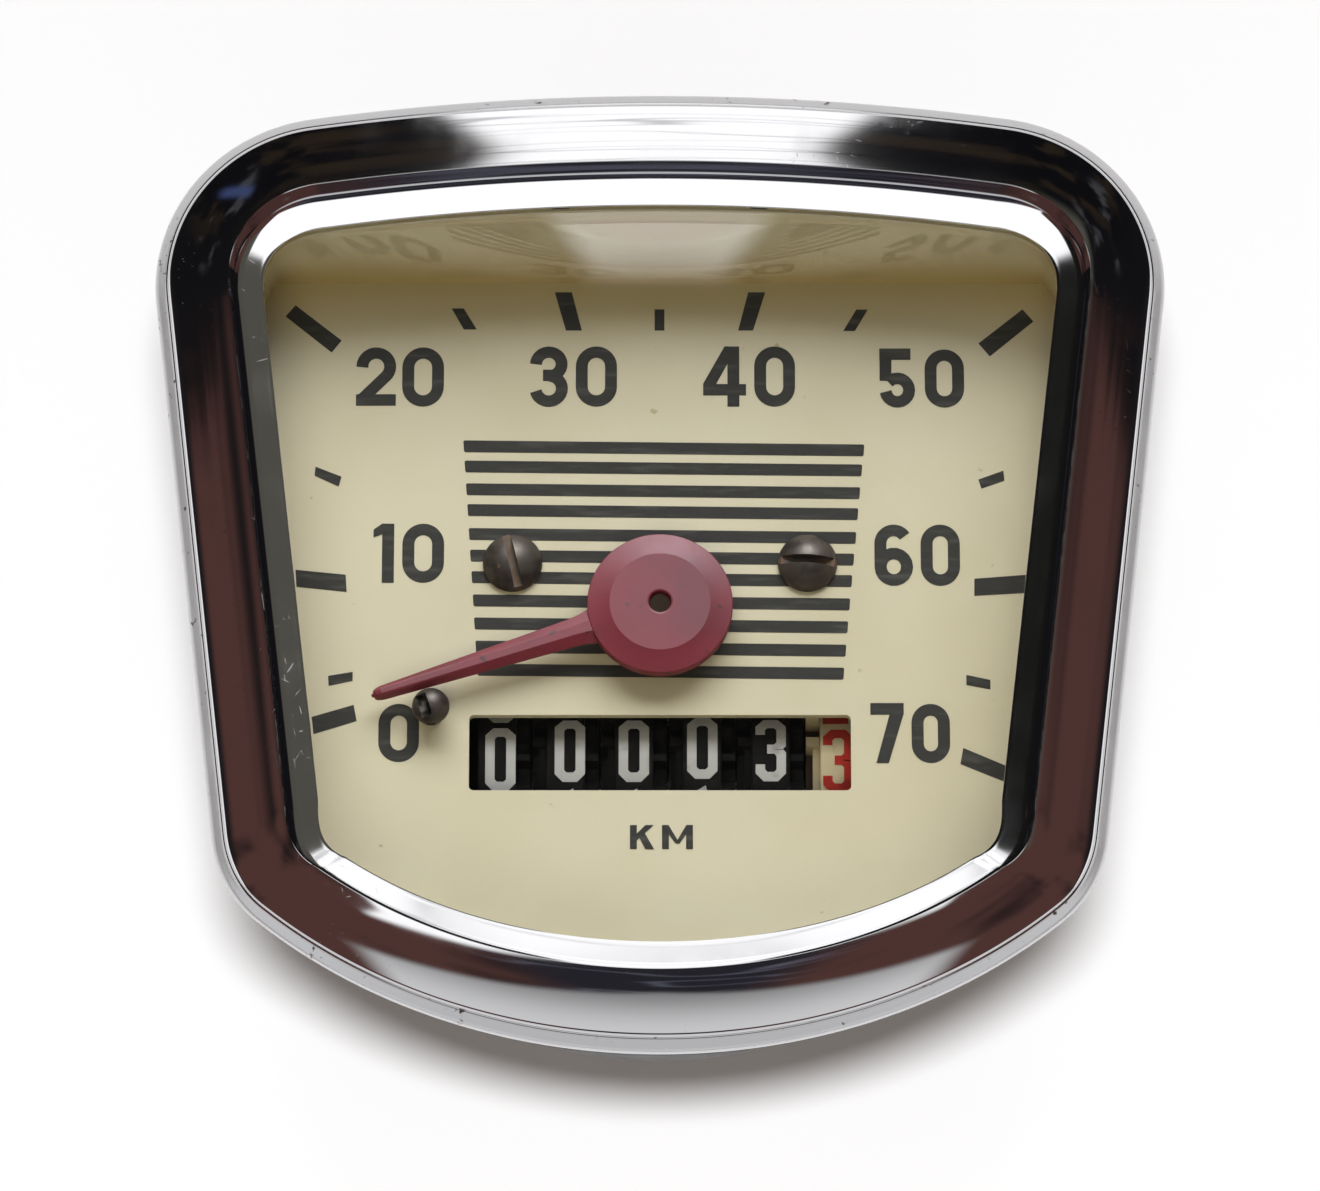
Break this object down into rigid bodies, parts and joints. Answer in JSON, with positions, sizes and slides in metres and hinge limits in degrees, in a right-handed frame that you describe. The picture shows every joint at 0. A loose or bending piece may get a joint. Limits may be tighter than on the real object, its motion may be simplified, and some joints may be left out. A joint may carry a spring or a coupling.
{
  "type": "speedometer",
  "caption": "Mechanical speedometer with a chromed trapezoid bezel, cream dial, red needle and drum odometer, worked by a cable through a threaded nose.",
  "frame": {"origin": "on the needle axis, at the free end of the threaded drive nose, where it stands on a surface", "axes": "+Z out of the dial along the needle axis, +Y toward the top of the scale, +X to the right"},
  "size_m": [0.0814, 0.0809, 0.0641],
  "materials": {
    "chrome": "polished plate with fine scratches",
    "glass": "clear flat glass",
    "rubber": "matt black rubber",
    "cream_paint": "gloss cream paint",
    "dial_paint": "satin cream paint",
    "needle_red": "dark crimson gloss plastic",
    "dark_steel": "blackened steel",
    "case_paint": "dark grey stoved paint",
    "steel": "turned steel",
    "spring_steel": "blued spring steel",
    "dark_iron": "plain iron",
    "brass": "turned brass",
    "bronze": "plain bronze bearing",
    "zinc": "raw zinc die casting",
    "aluminium": "spun aluminium",
    "drum_black": "matt black moulding",
    "drum_beige": "beige moulding",
    "white_nylon": "off-white nylon"
  },
  "bodies": {
    "housing": {"bezel": "chrome", "glass": "glass", "glass_seal": "rubber", "spacer_frame": "cream_paint", "dial": "dial_paint", "dial_screws": "dark_steel", "needle_stop": "dark_steel", "panel_gasket": "rubber", "case_shell": "case_paint", "mounting_studs": "steel", "drive_nose": "zinc", "nose_nut": "brass", "nose_washer": "steel", "drive_bush": "bronze", "base_plate": "zinc", "base_screws": "steel", "dial_pillars": "steel", "needle_bridge": "steel", "needle_bush": "bronze", "spring_lever": "brass", "hairspring": "spring_steel", "flux_ring": "dark_iron", "cheek_left": "zinc", "cheek_right": "zinc", "cheek_screws": "steel", "drum_axle": "steel", "pinion_axle": "steel", "train_bracket": "steel"},
    "needle_set": {"needle": "needle_red", "needle_shaft": "steel", "drag_cup": "aluminium", "cup_collet": "brass"},
    "drive_set": {"drive_spindle": "steel", "drive_worm": "steel", "magnet_boss": "brass", "magnet": "dark_iron"},
    "cross_set": {"cross_shaft": "steel", "cross_wheel": "brass", "cross_worm": "steel"},
    "upright_set": {"upright_shaft": "steel", "upright_wheel": "brass", "upright_worm": "steel"},
    "tenths": {"drum_tenths": "drum_beige", "drum_wheel": "brass"},
    "ones": {"drum_ones": "drum_black"},
    "tens": {"drum_tens": "drum_black"},
    "hundreds": {"drum_hundreds": "drum_black"},
    "thousands": {"drum_thousands": "drum_black"},
    "ten_thousands": {"drum_ten_thousands": "drum_black"},
    "carry_ones": {"pinion_ones": "white_nylon"},
    "carry_tens": {"pinion_tens": "white_nylon"},
    "carry_hundreds": {"pinion_hundreds": "white_nylon"},
    "carry_thousands": {"pinion_thousands": "white_nylon"},
    "carry_ten_thousands": {"pinion_ten_thousands": "white_nylon"}
  },
  "joints": [
    {"name": "needle_sweep", "type": "hinge", "parent": "housing", "child": "needle_set", "pos_m": [0, 0, 0.05366], "axis": [0, 0, -1], "range_deg": [0, 230], "stiffness_Nm_per_rad": 0.0004, "springref_deg": -22.92, "deforming": ["hairspring"]},
    {"name": "drive_spin", "type": "hinge", "parent": "housing", "child": "drive_set", "pos_m": [0, 0, 0], "axis": [0, 0, -1], "continuous": true},
    {"name": "cross_spin", "type": "hinge", "parent": "housing", "child": "cross_set", "pos_m": [0, -0.0048, 0.0202], "axis": [1, 0, 0], "continuous": true},
    {"name": "upright_spin", "type": "hinge", "parent": "housing", "child": "upright_set", "pos_m": [0.0185, 0, 0], "axis": [0, 0, 1], "continuous": true},
    {"name": "tenths_spin", "type": "hinge", "parent": "housing", "child": "tenths", "pos_m": [0, -0.0114, 0.04068], "axis": [-1, 0, 0], "continuous": true},
    {"name": "ones_spin", "type": "hinge", "parent": "housing", "child": "ones", "pos_m": [0, -0.0114, 0.04068], "axis": [-1, 0, 0], "continuous": true},
    {"name": "carry_ones_spin", "type": "hinge", "parent": "housing", "child": "carry_ones", "pos_m": [0, -0.01932, 0.03276], "axis": [-1, 0, 0], "continuous": true},
    {"name": "tens_spin", "type": "hinge", "parent": "housing", "child": "tens", "pos_m": [0, -0.0114, 0.04068], "axis": [-1, 0, 0], "continuous": true},
    {"name": "carry_tens_spin", "type": "hinge", "parent": "housing", "child": "carry_tens", "pos_m": [0, -0.01932, 0.03276], "axis": [-1, 0, 0], "continuous": true},
    {"name": "hundreds_spin", "type": "hinge", "parent": "housing", "child": "hundreds", "pos_m": [0, -0.0114, 0.04068], "axis": [-1, 0, 0], "continuous": true},
    {"name": "carry_hundreds_spin", "type": "hinge", "parent": "housing", "child": "carry_hundreds", "pos_m": [0, -0.01932, 0.03276], "axis": [-1, 0, 0], "continuous": true},
    {"name": "thousands_spin", "type": "hinge", "parent": "housing", "child": "thousands", "pos_m": [0, -0.0114, 0.04068], "axis": [-1, 0, 0], "continuous": true},
    {"name": "carry_thousands_spin", "type": "hinge", "parent": "housing", "child": "carry_thousands", "pos_m": [0, -0.01932, 0.03276], "axis": [-1, 0, 0], "continuous": true},
    {"name": "ten_thousands_spin", "type": "hinge", "parent": "housing", "child": "ten_thousands", "pos_m": [0, -0.0114, 0.04068], "axis": [-1, 0, 0], "continuous": true},
    {"name": "carry_ten_thousands_spin", "type": "hinge", "parent": "housing", "child": "carry_ten_thousands", "pos_m": [0, -0.01932, 0.03276], "axis": [-1, 0, 0], "continuous": true}
  ],
  "couplings": [
    {"joint": "cross_spin", "follows": "drive_spin", "ratio": -0.1},
    {"joint": "upright_spin", "follows": "drive_spin", "ratio": 0.01},
    {"joint": "tenths_spin", "follows": "drive_spin", "ratio": 0.0005},
    {"joint": "ones_spin", "follows": "drive_spin", "ratio": 0.00005},
    {"joint": "carry_ones_spin", "follows": "drive_spin", "ratio": -0.000125},
    {"joint": "tens_spin", "follows": "drive_spin", "ratio": 0.000005},
    {"joint": "carry_tens_spin", "follows": "drive_spin", "ratio": -0.0000125},
    {"joint": "hundreds_spin", "follows": "drive_spin", "ratio": 0.0000005},
    {"joint": "carry_hundreds_spin", "follows": "drive_spin", "ratio": -0.00000125},
    {"joint": "thousands_spin", "follows": "drive_spin", "ratio": 0.00000005},
    {"joint": "carry_thousands_spin", "follows": "drive_spin", "ratio": -0.000000125},
    {"joint": "ten_thousands_spin", "follows": "drive_spin", "ratio": 0.000000005},
    {"joint": "carry_ten_thousands_spin", "follows": "drive_spin", "ratio": -0.0000000125}
  ]
}
